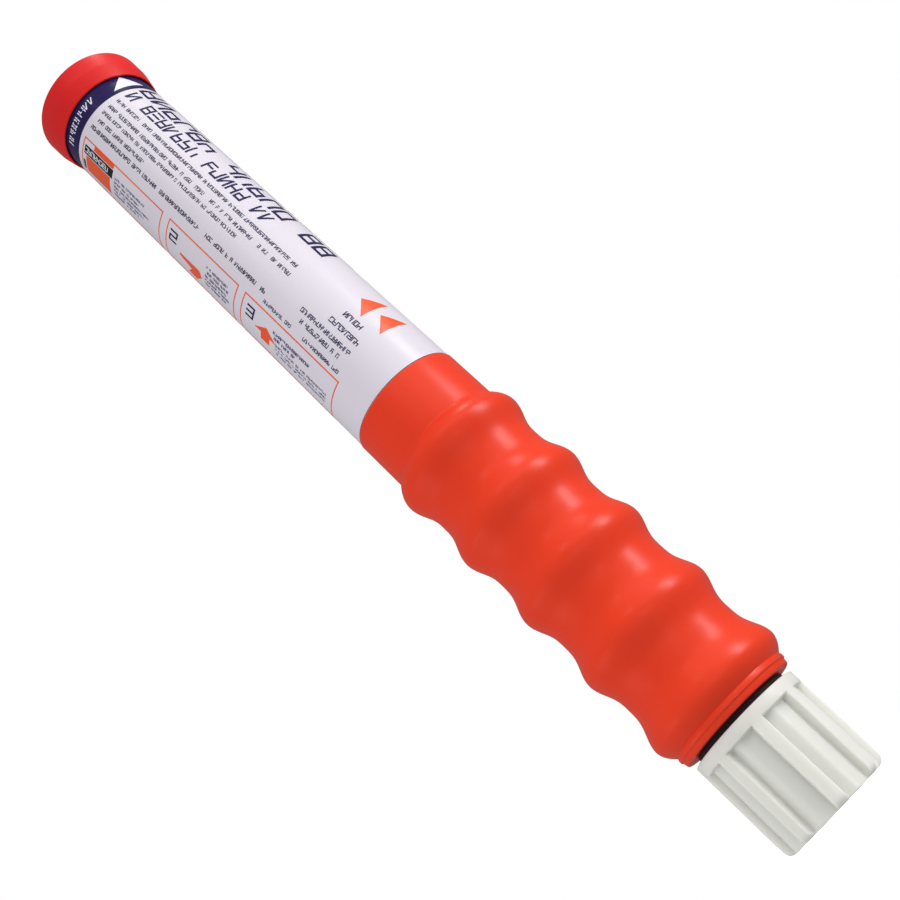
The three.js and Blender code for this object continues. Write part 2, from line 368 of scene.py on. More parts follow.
def turned(name, outline, segments=SMOOTH_TURN, sharp=32):
    """A closed mesh of an outline turned about the axis."""
    rings = []
    for r, z in outline:
        spots = 1 if r < 1e-6 else segments
        turns = [TURN * k / segments for k in range(spots)]
        rings.append([(r * math.cos(turn), r * math.sin(turn), z) for turn in turns])
    return lofted(name, rings, sharp)


def block(name, node, corner=0.4, hole=0.0):
    """A plain turned block or sleeve, as large as its CAD node, with eased edges."""
    low, high = low_high(node)
    radius = outer_radius(node)
    inner = corner * 0.6 if hole else 0
    return turned(name, rounded([
        (hole, low, inner), (radius, low, corner), (radius, high, corner), (hole, high, inner)]), HIDDEN_TURN)


def joined(name, meshes):
    """Several meshes as one."""
    bm = bmesh.new()
    for mesh in meshes:
        bm.from_mesh(mesh)
        bpy.data.meshes.remove(mesh)
    whole = bpy.data.meshes.new(name)
    bm.to_mesh(whole)
    bm.free()
    return whole


def rebuilt(name, mesh, sharp=32):
    """A grown mesh with merged seams, outward faces and smooth shading."""
    bm = bmesh.new()
    bm.from_mesh(mesh)
    bpy.data.meshes.remove(mesh)
    return to_mesh(name, bm, sharp)


def loose_points(name, outline):
    """(Radius, height) points as loose vertices in order, for a geometry tree to start from."""
    mesh = bpy.data.meshes.new(name)
    mesh.from_pydata([(r * MM, 0, z * MM) for r, z in outline], [], [])
    return mesh


# ---------------------------------------------------------------- geometry trees


def geometry_tree(name, inputs):
    """A Geometry Nodes tree with a geometry in and out and named sizes."""
    tree = bpy.data.node_groups.new(name, "GeometryNodeTree")
    wiring = Wiring(tree)
    wiring.socket("Geometry", "Geometry")
    for title, kind, value in inputs:
        wiring.socket(title, kind, value=value)
    wiring.socket("Material", "Material")
    wiring.socket("Geometry", "Geometry", "OUTPUT")
    return wiring, wiring.add("NodeGroupInput").outputs, wiring.add("NodeGroupOutput")


def grown(name, mesh, tree, values):
    """The mesh that a geometry tree makes from the given one, with its inputs set by name."""
    carrier = bpy.data.objects.new(name, mesh)
    bpy.context.scene.collection.objects.link(carrier)
    modifier = carrier.modifiers.new(name, "NODES")
    modifier.node_group = tree
    for item in tree.interface.items_tree:
        if item.in_out == "INPUT" and item.name in values:
            modifier[item.identifier] = values[item.name]
    bpy.context.view_layer.update()
    evaluated = carrier.evaluated_get(bpy.context.evaluated_depsgraph_get())
    result = bpy.data.meshes.new_from_object(evaluated)
    carrier.modifiers.remove(modifier)
    bpy.data.objects.remove(carrier)
    return result


def ringed_turning_tree():
    """Turns an outline, given as vertices in order, about Z, and raises rings on its outer side."""
    wiring, taken, given = geometry_tree("ringed_turning", [
        ("Segments", "Int", SMOOTH_TURN), ("Valley Radius", "Float", 0.0), ("Crest Radius", "Float", 0.0),
        ("Pitch", "Float", 0.01), ("First Crest", "Float", 0.0), ("Sharpness", "Float", 2.0),
        ("Rings From", "Float", 0.0), ("Rings To", "Float", 0.0)])
    plus, minus, times, over = wiring.sums()
    outline = taken["Geometry"]
    size = wiring.add("GeometryNodeAttributeDomainSize", {"Geometry": outline}, component="MESH")
    corners = size.outputs["Point Count"]
    columns = plus(taken["Segments"], 1.0)
    sheet = wiring.add("GeometryNodeMeshGrid", {"Vertices X": plus(corners, 1.0), "Vertices Y": columns})
    index = wiring.add("GeometryNodeInputIndex").outputs[0]
    row = wiring.math("FLOOR", over(plus(index, 0.5), columns))
    column = minus(index, times(row, columns))
    sample = wiring.add("GeometryNodeSampleIndex", {
        "Geometry": outline, "Value": wiring.add("GeometryNodeInputPosition").outputs[0],
        "Index": wiring.math("MODULO", row, corners)}, data_type="FLOAT_VECTOR", domain="POINT")
    point = wiring.parts(sample.outputs[0])
    radius, height = point["X"], point["Z"]
    along = over(minus(height, taken["First Crest"]), taken["Pitch"])
    wave = wiring.math("ABSOLUTE", wiring.math("COSINE", times(along, math.pi)))
    lift = times(wiring.math("POWER", wave, taken["Sharpness"]),
                 minus(taken["Crest Radius"], taken["Valley Radius"]))
    above = wiring.math("GREATER_THAN", height, taken["Rings From"])
    below = wiring.math("LESS_THAN", height, taken["Rings To"])
    outside = wiring.math("GREATER_THAN", radius, minus(taken["Valley Radius"], 1e-5))
    ringed = times(times(above, below), outside)
    reach = wiring.math("MULTIPLY_ADD", lift, ringed, radius)
    angle = times(over(column, taken["Segments"]), TURN)
    spot = wiring.xyz(X=times(reach, wiring.math("COSINE", angle)),
                      Y=times(reach, wiring.math("SINE", angle)), Z=height)
    swept = wiring.placed(sheet.outputs["Mesh"], spot)
    merged = wiring.add("GeometryNodeMergeByDistance", {"Geometry": swept, "Distance": 1e-7})
    real = wiring.add("GeometryNodeRealizeInstances", {"Geometry": merged.outputs[0]})
    return wiring.coated(real.outputs[0], taken, given)


def print_row_tree():
    """A row of unreadable letter-like marks, made of up to nine strokes each, bent round a taper.

    Strokes 0 to 2 lie across the letter at its top, middle and foot. Strokes 3 to 6 stand at its
    left and right, upper and lower. Strokes 7 and 8 lean from corner to corner.
    The row runs down the tube with the letter tops to the right, or round it when Round is 1.
    """
    wiring, taken, given = geometry_tree("print_row", [
        ("Letters", "Int", 20), ("Letter Height", "Float", 0.001), ("Letter Width", "Float", 0.0006),
        ("Pitch", "Float", 0.001), ("Stroke", "Float", 0.0001), ("Seed", "Int", 1),
        ("Word Gaps", "Float", 0.16), ("Angle", "Float", 0.0), ("Height", "Float", 0.0),
        ("Round", "Float", 0.0), ("Bend Steps", "Int", 2), ("Radius Low", "Float", 0.0178),
        ("Radius High", "Float", 0.0173), ("Taper From", "Float", 0.155), ("Taper To", "Float", 0.305),
        ("Ink Low", "Float", 0.00001), ("Ink High", "Float", 0.00005)])
    plus, minus, times, over = wiring.sums()
    tall, wide, thick = taken["Letter Height"], taken["Letter Width"], taken["Stroke"]
    strokes = 9.0
    points = wiring.add("GeometryNodeMeshLine", {
        "Count": times(taken["Letters"], strokes), "Offset": (0, 0, 0)})
    index = wiring.add("GeometryNodeInputIndex").outputs[0]
    letter = wiring.math("FLOOR", over(plus(index, 0.5), strokes))
    stroke = minus(index, times(letter, strokes))

    def is_stroke(*numbers):
        return functools.reduce(plus, [wiring.math("COMPARE", stroke, float(n), 0.1) for n in numbers])

    def chance(seed_step, counter, limit):
        drawn = wiring.add("FunctionNodeRandomValue", {
            "ID": counter, "Seed": plus(taken["Seed"], float(seed_step))}, data_type="FLOAT")
        return wiring.math("LESS_THAN", drawn.outputs[1], limit)

    flat = is_stroke(0, 1, 2)
    leaning = is_stroke(7, 8)
    beside = minus(minus(1.0, flat), leaning)
    steep = wiring.math("ARCTAN2", wide, times(tall, 1.05))
    lean = times(minus(is_stroke(7), is_stroke(8)), steep)
    across = times(minus(is_stroke(4, 6), is_stroke(3, 5)), times(wide, 0.5))
    level = plus(times(is_stroke(0), 0.5), times(is_stroke(2), -0.5))
    side_level = times(beside, minus(times(is_stroke(3, 4), 0.5), 0.25))
    clear = minus(tall, thick)
    spot = wiring.xyz(X=plus(times(letter, taken["Pitch"]), across), Y=times(plus(level, side_level), clear))
    slanted = chance(5, letter, 0.20)
    present = plus(times(flat, chance(11, index, 0.55)), times(beside, chance(23, index, 0.76)))
    squared = times(present, minus(1.0, slanted))
    right_stem = times(is_stroke(4, 6), chance(53, letter, 0.6))
    stem = times(slanted, plus(is_stroke(3, 5), right_stem))
    word = minus(1.0, chance(37, letter, taken["Word Gaps"]))
    shown = times(plus(squared, plus(times(slanted, is_stroke(8)), stem)), word)
    box = wiring.add("GeometryNodeMeshCube", {"Size": (1, 1, 1), "Vertices Y": taken["Bend Steps"]})
    long_side = plus(times(clear, 0.5), thick)
    size = wiring.xyz(
        X=plus(times(flat, plus(wide, thick)), times(minus(1.0, flat), thick)),
        Y=plus(times(flat, thick), plus(times(beside, long_side), times(leaning, tall))), Z=1.0)
    set_out = wiring.add("GeometryNodeInstanceOnPoints", {
        "Points": wiring.placed(points.outputs[0], spot), "Selection": shown,
        "Instance": box.outputs["Mesh"], "Rotation": wiring.xyz(Z=lean), "Scale": size})
    real = wiring.add("GeometryNodeRealizeInstances", {"Geometry": set_out.outputs[0]})
    return wiring.coated(bent_round(wiring, taken, real.outputs[0]), taken, given)


def bent_round(wiring, taken, geometry):
    """Bends flat print round the taper, along the tube or round it."""
    plus, minus, times, over = wiring.sums()
    at = wiring.parts(wiring.add("GeometryNodeInputPosition").outputs[0])
    along_tube = minus(1.0, taken["Round"])
    sideways = plus(times(at["Y"], along_tube), times(at["X"], taken["Round"]))
    upward = minus(times(at["Y"], taken["Round"]), times(at["X"], along_tube))
    height = plus(taken["Height"], upward)
    taper = wiring.add("ShaderNodeMapRange", {
        "Value": height, "From Min": taken["Taper From"], "From Max": taken["Taper To"],
        "To Min": taken["Radius Low"], "To Max": taken["Radius High"]})
    angle = plus(taken["Angle"], over(sideways, taken["Radius Low"]))
    above = wiring.math("GREATER_THAN", at["Z"], 0.0)
    thickness = minus(taken["Ink High"], taken["Ink Low"])
    ink = wiring.math("MULTIPLY_ADD", above, thickness, taken["Ink Low"])
    reach = plus(taper.outputs["Result"], ink)
    bent = wiring.xyz(X=times(reach, wiring.math("SINE", angle)),
                      Y=times(reach, times(wiring.math("COSINE", angle), -1.0)), Z=height)
    return wiring.placed(geometry, bent)


def thread_tree():
    """Ridges that climb a screw thread, one for each start."""
    wiring, taken, given = geometry_tree("screw_thread", [
        ("Starts", "Int", 3), ("Turns", "Float", 1.5), ("Radius", "Float", 0.0115),
        ("Rise", "Float", 0.018), ("Foot", "Float", 0.009), ("Ridge", "Float", 0.0007)])
    spiral = wiring.add("GeometryNodeCurveSpiral", {
        "Resolution": 40, "Rotations": taken["Turns"], "Start Radius": taken["Radius"],
        "End Radius": taken["Radius"], "Height": taken["Rise"], "Reverse": True})
    section = wiring.add("GeometryNodeCurvePrimitiveCircle", {"Resolution": 10, "Radius": taken["Ridge"]})
    ridge = wiring.add("GeometryNodeCurveToMesh", {
        "Curve": spiral.outputs[0], "Profile Curve": section.outputs[0], "Fill Caps": True})
    points = wiring.add("GeometryNodeMeshLine", {
        "Count": taken["Starts"], "Start Location": wiring.xyz(Z=taken["Foot"]), "Offset": (0, 0, 0)})
    share = wiring.math("DIVIDE", wiring.add("GeometryNodeInputIndex").outputs[0], taken["Starts"])
    set_out = wiring.add("GeometryNodeInstanceOnPoints", {
        "Points": points.outputs[0], "Instance": ridge.outputs[0],
        "Rotation": wiring.xyz(Z=wiring.math("MULTIPLY", share, TURN))})
    real = wiring.add("GeometryNodeRealizeInstances", {"Geometry": set_out.outputs[0]})
    return wiring.coated(real.outputs[0], taken, given)


# ---------------------------------------------------------------- handle


def flank(z):
    """Outer radius of the grip outside its first or last ring."""
    if z < FIRST_CREST:
        past = (FIRST_CREST - z) / (FIRST_CREST - LIP_TOP)
    else:
        past = (z - LAST_CREST) / (GRIP_TOP - LAST_CREST)
    return CREST - (CREST - VALLEY) * past ** END_FLANK_SHARPNESS


def grip_outline():
    """Neck, lip, plain cylinder where the rings will rise, and collar; then back down the bore."""
    bottom = rounded([
        (NECK_BORE, NECK_FOOT, 0.3),
        (NECK, NECK_FOOT, 0.4),
        (NECK, HANDLE_SHOULDER, 0.4),
        (17.75, HANDLE_SHOULDER, 0.5),
        (18.0, HANDLE_SHOULDER + 1.5, 0.3),
        (18.38, HANDLE_SHOULDER + 1.8, 0.15),
        (18.40, HANDLE_SHOULDER + 2.6, 0.3),
        (18.22, HANDLE_SHOULDER + 3.0, 0.0),
    ])
    steps = 7
    below = [LIP_TOP + (FIRST_CREST - LIP_TOP) * k / steps for k in range(steps)]
    rows = 132
    rings = [(VALLEY, FIRST_CREST + (LAST_CREST - FIRST_CREST) * k / rows) for k in range(rows + 1)]
    above = [LAST_CREST + (GRIP_TOP - LAST_CREST) * k / steps for k in range(1, steps + 1)]
    bore_floor = 36.0
    top = rounded([
        (COLLAR + 0.03, GRIP_TOP + 0.35, 0.0),
        (COLLAR, GRIP_TOP + 0.8, 0.0),
        (COLLAR, COLLAR_TOP, 0.35),
        (HANDLE_BORE, COLLAR_TOP, 0.2),
        (HANDLE_BORE, bore_floor, 0.5),
        (NECK_BORE, bore_floor, 0.4),
    ])
    return bottom + [(flank(z), z) for z in below] + rings + [(flank(z), z) for z in above] + top


def grip_handle(material):
    """One orange moulding: neck, lip, five finger rings and the plain collar."""
    outline = loose_points("grip_outline", grip_outline())
    edge = 0.01
    mesh = grown("grip_turning", outline, ringed_turning_tree(), {
        "Segments": SMOOTH_TURN, "Valley Radius": VALLEY * MM, "Crest Radius": CREST * MM,
        "Pitch": CREST_PITCH * MM, "First Crest": FIRST_CREST * MM, "Sharpness": CREST_SHARPNESS,
        "Rings From": (FIRST_CREST - edge) * MM, "Rings To": (LAST_CREST + edge) * MM, "Material": material})
    return rebuilt("grip_moulding", mesh, 40)


# ---------------------------------------------------------------- base cap


def cap_envelope(z):
    """Outer radius of the base cap at a height, with the rounded foot and rim."""
    side = CAP_FOOT_RADIUS + (CAP_RIM - CAP_FOOT_RADIUS) * z / CAP_TOP
    for corner, inward in ((CAP_FOOT_CORNER, z), (CAP_RIM_CORNER, CAP_TOP - z)):
        if inward < corner:
            rise = 1 - inward / corner
            side -= corner * (1 - math.sqrt(max(0.0, 1 - rise * rise)))
    return side


def core_radius(angle):
    """Radius of the eight-sided core, with its corners eased."""
    side = TURN / RIB_COUNT
    share = (angle - FIRST_CORE_CORNER) / side
    off = abs(share - round(share)) * side
    flat = CORE_CORNER * math.cos(side / 2)
    easing = 0.10 * math.exp(-(off / 0.035) ** 2)
    return flat / math.cos(max(side / 2 - off, 0)) - easing


def cap_stations():
    """Angles round the cap with how far each lies from the core (0) to the rib top (1)."""
    half_top = math.asin(RIB_WIDTH / 2 / CAP_RIM)
    half_foot = math.asin(RIB_WIDTH / 2 / CORE_CORNER)
    start = half_foot + 0.030
    gap = TURN / RIB_COUNT - 2 * start
    rib = [(-start, 0.0), (-half_foot - 0.014, 0.07), (-half_foot - 0.004, 0.25),
           (-half_top - 0.004, 0.80), (-half_top + 0.004, 0.94), (-half_top + 0.016, 1.0)]
    stations = []
    for i in range(RIB_COUNT):
        middle = FIRST_RIB + TURN * i / RIB_COUNT
        stations += [(middle + angle, share) for angle, share in rib]
        stations += [(middle + half_top * k / 3, 1.0) for k in (-2, -1, 0, 1, 2)]
        stations += [(middle - angle, share) for angle, share in reversed(rib)]
        stations += [(middle + start + gap * k / 14, 0.0) for k in range(1, 14)]
    return stations


def base_cap():
    """The ribbed screw cap: eight ribs on an eight-sided core under a plain band."""
    foot = [CAP_FOOT_CORNER * (1 - math.cos(math.pi / 2 * k / 7)) for k in range(8)]
    levels = [(z, 0.0) for z in foot + [4, 8, 12, 16, 20, 23]]
    levels += [(POCKET_ROOF + above, closed_in) for above, closed_in in (
        (-0.7, 0.0), (-0.35, 0.06), (-0.12, 0.22), (0.0, 0.50), (0.06, 0.80), (0.18, 0.95), (0.4, 1.0))]
    levels += [(z, 1.0) for z in (27.5, CAP_TOP - CAP_RIM_CORNER, CAP_TOP - 0.28, CAP_TOP - 0.12, CAP_TOP)]
    stations = cap_stations()
    rings = [[(0, 0, 0)]]
    for z, closed_in in levels:
        outer = cap_envelope(z)
        ring = []
        for angle, share in stations:
            core = min(core_radius(angle), outer - 0.02)
            ring.append(polar(core + (outer - core) * max(share, closed_in), angle, z))
        rings.append(ring)
    for radius, z in ((CAP_BORE + 0.3, CAP_TOP), (CAP_BORE, CAP_TOP - 0.3), (CAP_BORE, CAP_FLOOR + 0.6),
                      (CAP_BORE - 0.2, CAP_FLOOR + 0.2), (CAP_BORE - 0.6, CAP_FLOOR)):
        rings.append([polar(radius, angle, z) for angle, share in stations])
    rings.append([(0, 0, CAP_FLOOR)])
    return lofted("base_cap_moulding", rings, 24)


def thread(name, radius, ridge, foot, rise, material):
    """The ridges of one screw thread, from its foot up."""
    mesh = grown(name, loose_points("seed", [(0, 0)]), thread_tree(), {
        "Starts": THREAD_STARTS, "Turns": rise / THREAD_LEAD, "Radius": radius * MM, "Rise": rise * MM,
        "Foot": foot * MM, "Ridge": ridge * MM, "Material": material})
    return rebuilt(name, mesh)


# ---------------------------------------------------------------- tube, film and print


def wrap_radius(z):
    """Outer radius of the film at a height."""
    share = (z - WRAP_LOW) / (WRAP_HIGH - WRAP_LOW)
    return WRAP_RADIUS + (WRAP_RADIUS_HIGH - WRAP_RADIUS) * share


def film():
    """The film wrap, with the step of its overlap down the back."""
    seam = math.radians(152)
    overlap = 0.12
    rise = 0.06
    turns = [seam + TURN * k / ROUND_STEPS for k in range(ROUND_STEPS)]
    step = [(seam - 0.0015, 0.0)] + [(angle, rise if angle - seam < overlap else 0.0) for angle in turns]
    rings = []
    for z in [WRAP_LOW + (WRAP_HIGH - WRAP_LOW) * k / 12 for k in range(13)]:
        rings.append([polar(wrap_radius(z) - rise + lift, angle, z) for angle, lift in step])
    for z in (WRAP_HIGH, WRAP_LOW):
        rings.append([polar(wrap_radius(z) - WRAP_THICKNESS, angle, z) for angle, lift in step])
    return lofted("label_film", rings)


def printed(name, shapes):
    """Flat shapes of (degrees, height) corners as thin ink laid on the film."""
    bm = bmesh.new()
    arc = math.radians(1) * WRAP_RADIUS
    facet = 1.2
    for corners in shapes:
        bm.faces.new([bm.verts.new((degrees * arc, z, 0)) for degrees, z in corners])
    low = min(v.co.x for v in bm.verts)
    high = max(v.co.x for v in bm.verts)
    cut = low + facet
    while cut < high:
        geometry = bm.verts[:] + bm.edges[:] + bm.faces[:]
        bmesh.ops.bisect_plane(bm, geom=geometry, dist=1e-5, plane_co=(cut, 0, 0), plane_no=(1, 0, 0))
        cut += facet
    raised = bmesh.ops.extrude_face_region(bm, geom=bm.faces[:], use_keep_orig=True)["geom"]
    top = {v for v in raised if isinstance(v, bmesh.types.BMVert)}
    for vert in bm.verts:
        z = vert.co.y
        reach = wrap_radius(z) + (INK_HIGH if vert in top else INK_LOW)
        vert.co = Vector(polar(reach, vert.co.x / WRAP_RADIUS, z)) * MM
    bmesh.ops.recalc_face_normals(bm, faces=bm.faces)
    mesh = bpy.data.meshes.new(name)
    bm.to_mesh(mesh)
    bm.free()
    return soften(mesh)


def bar(left, right, low, high):
    """A printed rectangle, in degrees and millimetres."""
    return [(left, low), (right, low), (right, high), (left, high)]


def panel_frame(left, right, low, high, line=0.40):
    """The printed outline of an instruction panel."""
    thin = math.degrees(line / WRAP_RADIUS)
    return [bar(right - thin, right, low, high), bar(left, right - thin, high - line, high),
            bar(left, right - thin, low, low + line), bar(left, left + thin, low + line, high - line)]


def band(low, high):
    """The dark printed band under the rocket-end cap."""
    rings = [[polar(wrap_radius(z) + lift, TURN * k / ROUND_STEPS, z) for k in range(ROUND_STEPS)]
             for z, lift in ((low, INK_LOW), (low, INK_HIGH), (high, INK_HIGH), (high, INK_LOW))]
    return lofted("dark_band", rings)


def row(tree, material, angle, start, end, height, heavy, gaps, seed, width=0.56, round_tube=False):
    """One row of letter-like marks. Along the tube, angle is the row's middle in degrees, start and end are
    heights, and the letters' height is in degrees of turn. Round the tube, angle is a height, start and end
    are degrees, and the letters' height is in millimetres."""
    if round_tube:
        tall = height
        pitch = tall * (width + 0.30)
        length = math.radians(end - start) * WRAP_RADIUS
    else:
        tall = math.radians(height) * WRAP_RADIUS
        pitch = tall * (width + 0.27)
        length = abs(end - start)
    raised = ON_BAND if round_tube else 0
    return grown("row", loose_points("seed", [(0, 0)]), tree, {
        "Letters": max(1, int(length / pitch)), "Letter Height": tall * MM, "Letter Width": tall * width * MM,
        "Pitch": pitch * MM, "Stroke": tall * heavy * MM, "Seed": seed, "Word Gaps": gaps,
        "Angle": math.radians(start if round_tube else angle),
        "Height": (angle if round_tube else start) * MM,
        "Round": 1.0 if round_tube else 0.0, "Bend Steps": 10 if tall > 3 else 3,
        "Radius Low": WRAP_RADIUS * MM, "Radius High": WRAP_RADIUS_HIGH * MM, "Taper From": WRAP_LOW * MM,
        "Taper To": WRAP_HIGH * MM, "Ink Low": (INK_LOW + raised) * MM, "Ink High": (INK_HIGH + raised) * MM,
        "Material": material})


def label_rows():
    """The wrap's rows of print: (angle, start, end, height of letters, stroke weight, gaps)."""
    return [
        (62.0, 291.0, 196.0, 24.0, 0.15, 0.08), (38.3, 291.0, 217.0, 15.5, 0.16, 0.08),
        (21.5, 292.0, 201.0, 4.2, 0.17, 0.10), (10.8, 292.0, 201.0, 4.1, 0.17, 0.15),
        (1.9, 292.0, 223.0, 3.8, 0.17, 0.15), (-7.6, 292.0, 266.0, 3.9, 0.17, 0.10),
        (-17.2, 292.0, 203.0, 4.3, 0.18, 0.16), (-24.4, 202.5, 188.5, 3.5, 0.16, 0.10),
        (-24.4, 185.4, 168.5, 3.6, 0.18, 0.08), (20.0, 179.8, 171.5, 5.8, 0.18, 0.0),
        (7.2, 181.6, 168.6, 5.4, 0.18, 0.0), (-4.5, 190.5, 168.4, 4.6, 0.18, 0.12),
        (-13.4, 188.3, 171.0, 4.4, 0.18, 0.10)]


def panel_rows():
    """Small rows inside both sets of instruction panels."""
    rows = []
    for turn in PANEL_TURNS:
        for angle in (-43.5, -48.5, -53.5, -58.5, -63.5):
            rows.append((angle + turn, 275.0, 254.0 + (angle % 3) * 3, 2.7, 0.15, 0.15))
        for angle in (-43.0, -48.0, -53.0, -58.0, -63.0):
            rows.append((angle + turn, 227.0, 214.5 + (angle % 2) * 2, 2.9, 0.17, 0.12))
        rows.append((-42.3 + turn, 194.8, 177.8, 3.4, 0.2, 0.12))
        rows.append((-47.6 + turn, 194.8, 184.0, 3.4, 0.2, 0.12))
        for angle in (-54.0, -59.0, -64.0):
            rows.append((angle + turn, 193.0, 169.5, 2.8, 0.15, 0.14))
    return rows


def back_rows():
    """Plain rows of small print round the back of the wrap."""
    rows = []
    for k, angle in enumerate(range(84, 146, 6)):
        rows.append((float(angle), 290.0, 196.0 + (k * 37) % 60, 3.1, 0.15, 0.14))
    for k, angle in enumerate(range(-136, -204, -6)):
        rows.append((float(angle), 290.0, 178.0 + (k * 53) % 70, 3.0, 0.15, 0.14))
    return rows


def on_film(name, mesh, ink):
    """Keeps one piece of print."""
    keep(name, mesh, ink, "launcher", "printed_film")


def print_rows(ink):
    """All rows of letter-like marks, each with a seed of its own."""
    tree = print_row_tree()
    seed = 100
    for name, rows, look in (("main_print", label_rows(), "navy"), ("panel_print", panel_rows(), "blue"),
                             ("back_print", back_rows(), "blue")):
        meshes = []
        for line in rows:
            seed += 7
            meshes.append(row(tree, ink[look], *line, seed))
        on_film(name, rebuilt(name, joined(name, meshes)), ink[look])
    pale = ink["white_ink"]
    marks = [row(tree, pale, 299.0, -50.0, 13.0, 2.5, 0.16, 0.1, 77, 0.62, round_tube=True),
             row(tree, pale, -42.5, 290.6, 277.6, 6.0, 0.17, 0.0, 31)]
    on_film("pale_marks", rebuilt("pale_marks", joined("pale", marks)), pale)


def panel_shapes(turn):
    """The frames and the two simple figures of one set of instruction panels."""
    shapes = []
    for low, high in ((250.8, 293.0), (213.0, 247.5), (167.4, 210.0)):
        shapes += panel_frame(-80, -30.5, low, high)
    shapes.append([(-55, 240), (-58, 240), (-62, 234), (-70, 236), (-71, 232), (-62, 229), (-55, 230)])
    shapes.append([(-45, 198), (-54, 203), (-54, 200), (-63, 200), (-63, 196), (-54, 196), (-54, 193)])
    return [[(degrees + turn, z) for degrees, z in corners] for corners in shapes]


def panel_numerals(turn):
    """A two and a three for one set of panels, and a small bar above them."""
    line = 0.65
    numerals = []
    for low, high, is_two in ((242.0, 245.8, True), (204.0, 207.6, False)):
        numerals += [bar(angle, angle + 1.9, low, high) for angle in (-51, -45.5, -40)]
        numerals.append(bar(-43.6, -40, low, low + line))
        upper = high - line if is_two else low
        numerals.append(bar(-49.1, -45.5, upper, upper + line))
    numerals.append(bar(-68, -56, 291.2, 292.2))
    return [[(degrees + turn, z) for degrees, z in corners] for corners in numerals]


def print_label(ink):
    """Everything printed on the wrap: rows of marks, panels, arrows and numerals."""
    print_rows(ink)
    pointer = [(44.5, 302.0), (26.4, 296.4), (64.5, 296.9)]
    on_film("pale_pointer", lifted(printed("pale_pointer", [pointer])), ink["white_ink"])
    on_film("pointer_rule", lifted(printed("pointer_rule", [bar(22, 72, 295.35, 295.75)])), ink["black_ink"])
    shapes = [[(44.5, 182.1), (28.0, 176.5), (64.8, 176.8)], [(45.4, 174.0), (27.9, 168.3), (63.5, 168.3)],
              bar(-70, -48.5, 277.5, 290.6), bar(-36.6, -30.9, 276.7, 287.4)]
    numerals = []
    for turn in PANEL_TURNS:
        shapes += panel_shapes(turn)
        numerals += panel_numerals(turn)
    on_film("orange_print", printed("orange_print", shapes), ink["orange_ink"])
    on_film("tag_print", printed("tag_print", [bar(-47.5, -37.5, 276.5, 291.8)]), ink["black_ink"])
    on_film("numeral_print", printed("numeral_print", numerals), ink["navy"])


def lifted(mesh):
    """Print that lies on the dark band instead of on the bare film."""
    for vertex in mesh.vertices:
        reach = math.hypot(vertex.co.x, vertex.co.y)
        for axis in (0, 1):
            vertex.co[axis] *= (reach + ON_BAND * MM) / reach
    return mesh


# ---------------------------------------------------------------- rocket-end cap, tube, plug and pull


def rocket_end_cap():
    roof = TUBE_HIGH + 0.3
    groove_low, groove_high = 307.0, 308.8
    return turned("rocket_end_cap_moulding", rounded([
        (0, END_CAP_HIGH, 0),
        (END_CAP_RADIUS, END_CAP_HIGH, 1.1),
        (END_CAP_RADIUS - 0.15, END_CAP_LOW + 5.5, 2.0),
        (END_CAP_RADIUS - 1.15, END_CAP_LOW, 0.3),
        (END_CAP_BORE, END_CAP_LOW, 0.15),
        (END_CAP_BORE, roof, 0.4),
        (SPIGOT, roof, 0.3),
        (SPIGOT, groove_high, 0.1),
        (SEAL_GROOVE, groove_high, 0.1),
        (SEAL_GROOVE, groove_low, 0.1),
        (SPIGOT, groove_low, 0.1),
        (SPIGOT, 305.0, 0.4),
        (13.4, 305.0, 0.4),
        (13.4, roof, 0.5),
        (0, roof, 0),
    ], 5))


def launch_tube():
    inset = WRAP_THICKNESS + 0.3
    foot = HANDLE_BORE - 0.3
    return turned("launch_tube_wall", rounded([
        (TUBE_BORE, TUBE_LOW, 0.3),
        (foot, TUBE_LOW, 0.4),
        (foot, WRAP_LOW, 0.2),
        (WRAP_RADIUS - inset, WRAP_LOW, 0.2),
        (WRAP_RADIUS_HIGH - inset, WRAP_HIGH, 0),
        (WRAP_RADIUS_HIGH - inset, TUBE_HIGH, 0.4),
        (TUBE_BORE, TUBE_HIGH, 0.3),
    ]))


def base_plug():
    spigot = NECK_BORE - 0.3
    return turned("base_plug_turning", rounded([
        (PLUG_BORE, 29, 0.2), (spigot, 29, 0.3), (spigot, 31.5, 0.1), (8.3, 31.5, 0.1), (8.3, 33.3, 0.1),
        (spigot, 33.3, 0.1), (spigot, 36.3, 0.1),
        (PLUG_HEAD, 36.3, 0.3), (PLUG_HEAD, 39.5, 0.4), (9, 39.5, 0.5),
        (9, 45.7, 0.4), (PLUG_BORE, 45.7, 0.3)]), HIDDEN_TURN)


def igniter_body():
    """The closed housing of the pull igniter."""
    return turned("igniter_body", rounded([
        (0.9, 27.2, 0.1), (3.2, 27.2, 0.3), (4.5, 28.5, 0.3), (4.5, 44, 0.3), (2.6, 44, 0.2), (2.6, 36, 0.1),
        (0.9, 36, 0.1)]), HIDDEN_TURN)


def o_ring(name, node):
    """A round-section ring that fills the space of its CAD node."""
    low, high = low_high(node)
    section = (high - low) / 2
    middle = outer_radius(node) - section
    turns = [TURN * k / 14 for k in range(14)]
    level = (low + high) / 2
    outline = [(middle + section * math.cos(turn), level + section * math.sin(turn)) for turn in turns]
    return turned(name, outline, HIDDEN_TURN)


